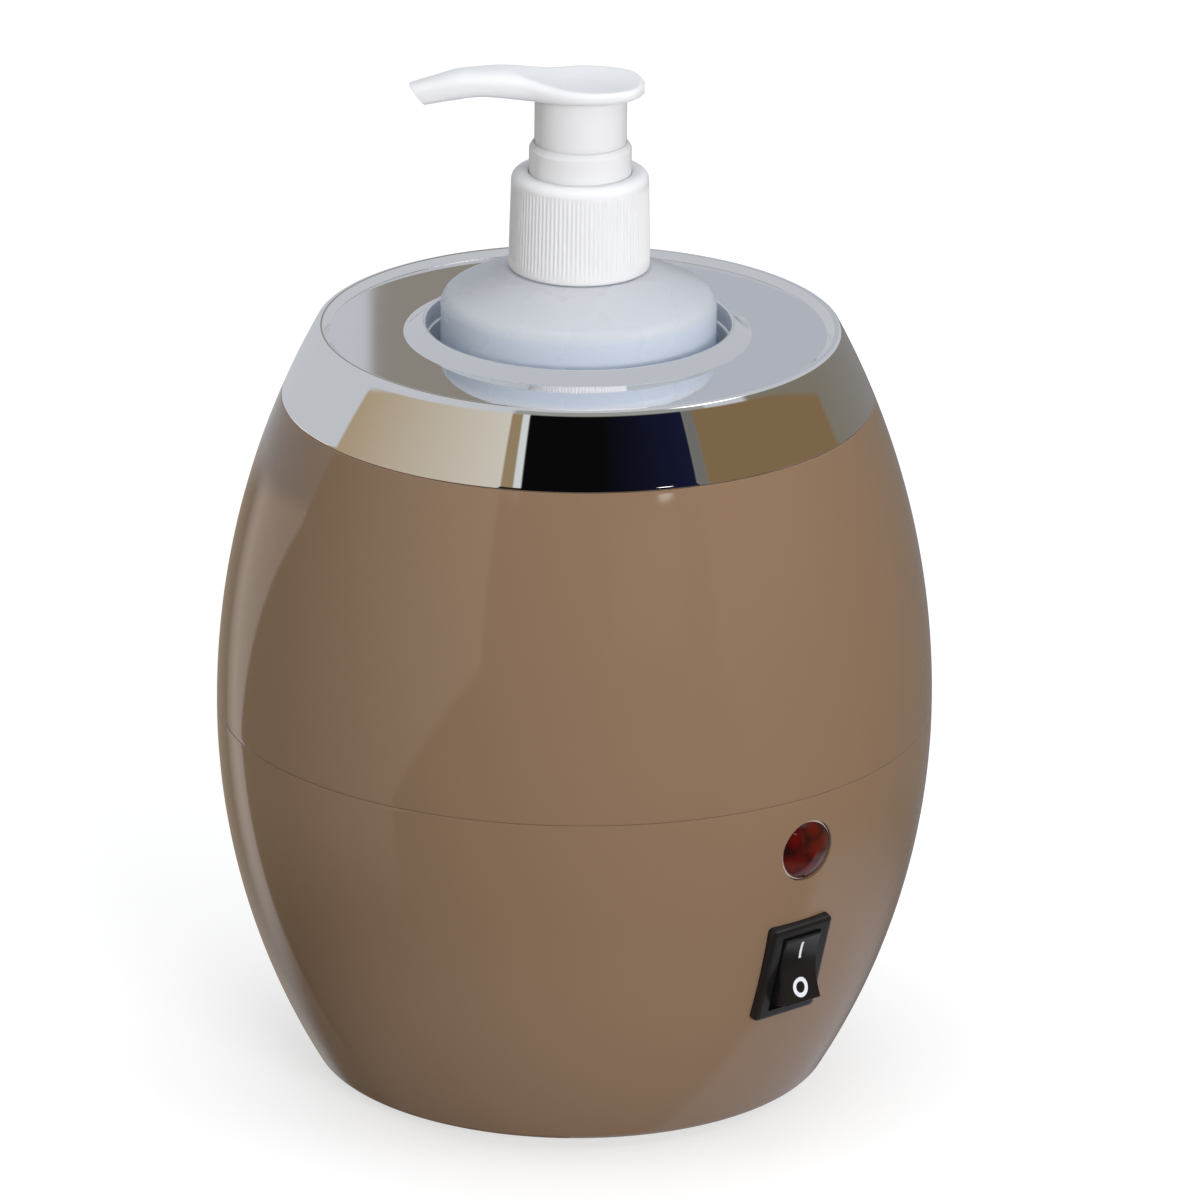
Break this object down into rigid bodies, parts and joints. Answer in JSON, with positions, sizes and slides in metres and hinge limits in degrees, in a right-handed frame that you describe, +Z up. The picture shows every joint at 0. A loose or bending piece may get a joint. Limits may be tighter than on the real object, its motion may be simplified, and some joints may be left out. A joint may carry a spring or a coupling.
{
  "type": "massage oil warmer",
  "caption": "Barrel-shaped electric oil warmer with a chrome top ring and a heated well that holds a pump bottle; rocker switch and lamp on the front.",
  "frame": {"origin": "on the table under the middle of the base, at the underside of the rubber feet", "axes": "+Z up along the axis of the body and the bottle, -Y towards the switch and the lamp, +Y towards the cord gland at the back, +X to the right when looking at the switch"},
  "size_m": [0.14, 0.1412, 0.2041],
  "materials": {
    "body_plastic": "glossy taupe moulded plastic",
    "chrome": "mirror-bright plating",
    "polished_plate": "polished sheet",
    "cup_metal": "polished inside, plain outside",
    "heater_metal": "plain sheath",
    "dark_plastic": "fine grain",
    "black_plastic": "semi-gloss",
    "pale_plastic": "smooth",
    "white_plastic": "satin white polypropylene",
    "bottle_plastic": "translucent natural polyethylene",
    "clear_plastic": "natural polyethylene",
    "gasket_foam": "soft foam liner",
    "red_lens": "clear red, faceted inside",
    "clear_glass": "clear",
    "brass": "plain",
    "steel": "zinc plated",
    "rubber": "matt",
    "brown_cover": "wire insulation",
    "blue_cover": "wire insulation"
  },
  "bodies": {
    "housing": {"lower_shell": "body_plastic", "upper_shell": "body_plastic", "chrome_ring": "chrome", "top_plate": "polished_plate", "heating_cup": "cup_metal", "heater_band": "heater_metal", "band_screw": "steel", "thermostat": "dark_plastic", "thermostat_screws": "steel", "thermal_fuse": "brass", "fuse_clip": "steel", "clip_screw": "steel", "base_plate": "dark_plastic", "rubber_feet": "rubber", "base_screws": "steel", "shell_screws": "steel", "plate_screws": "steel", "cup_screws": "steel", "switch_housing": "black_plastic", "switch_terminals": "brass", "lamp_bezel": "pale_plastic", "lamp_lens": "red_lens", "lamp_nut": "dark_plastic", "neon_bulb": "clear_glass", "cord_gland": "black_plastic", "gland_nut": "black_plastic", "terminal_block": "pale_plastic", "block_screw": "steel", "line_wires": "brown_cover", "neutral_wires": "blue_cover"},
    "switch_rocker": {"switch_rocker": "black_plastic"},
    "bottle": {"bottle": "bottle_plastic", "bottle_neck": "bottle_plastic"},
    "pump_base": {"pump_housing": "white_plastic", "neck_gasket": "gasket_foam", "pump_collar": "white_plastic", "dip_tube": "clear_plastic", "pump_spring": "steel"},
    "closure": {"closure": "white_plastic"},
    "inlet_ball": {"inlet_ball": "steel"},
    "pump_stem": {"pump_stem": "white_plastic", "piston": "clear_plastic"},
    "pump_head": {"pump_head": "white_plastic"}
  },
  "joints": [
    {"name": "bottle_lift", "type": "slide", "parent": "housing", "child": "bottle", "axis": [0, 0, 1], "range_m": [0, 0.125]},
    {"name": "pump_lift", "type": "slide", "parent": "bottle", "child": "pump_base", "axis": [0, 0, 1], "range_m": [0, 0.00477]},
    {"name": "closure_turn", "type": "hinge", "parent": "pump_base", "child": "closure", "pos_m": [0, 0, 0.174], "axis": [0, 0, 1], "range_deg": [0, 540]},
    {"name": "pump_press", "type": "slide", "parent": "pump_base", "child": "pump_stem", "axis": [0, 0, -1], "range_m": [0, 0.0065], "stiffness_N_per_m": 900, "springref_m": -0.008, "deforming": ["pump_spring"]},
    {"name": "head_swivel", "type": "hinge", "parent": "pump_stem", "child": "pump_head", "pos_m": [0, 0, 0.195], "axis": [0, 0, 1], "continuous": true},
    {"name": "ball_lift", "type": "slide", "parent": "pump_base", "child": "inlet_ball", "axis": [0, 0, 1], "range_m": [0, 0.0015]},
    {"name": "rocker_tilt", "type": "hinge", "parent": "housing", "child": "switch_rocker", "pos_m": [0, -0.06298, 0.0396], "axis": [1, 0, 0], "range_deg": [0, 30]}
  ],
  "couplings": [
    {"joint": "pump_lift", "follows": "closure_turn", "m_per_rad": 0.00050532}
  ]
}
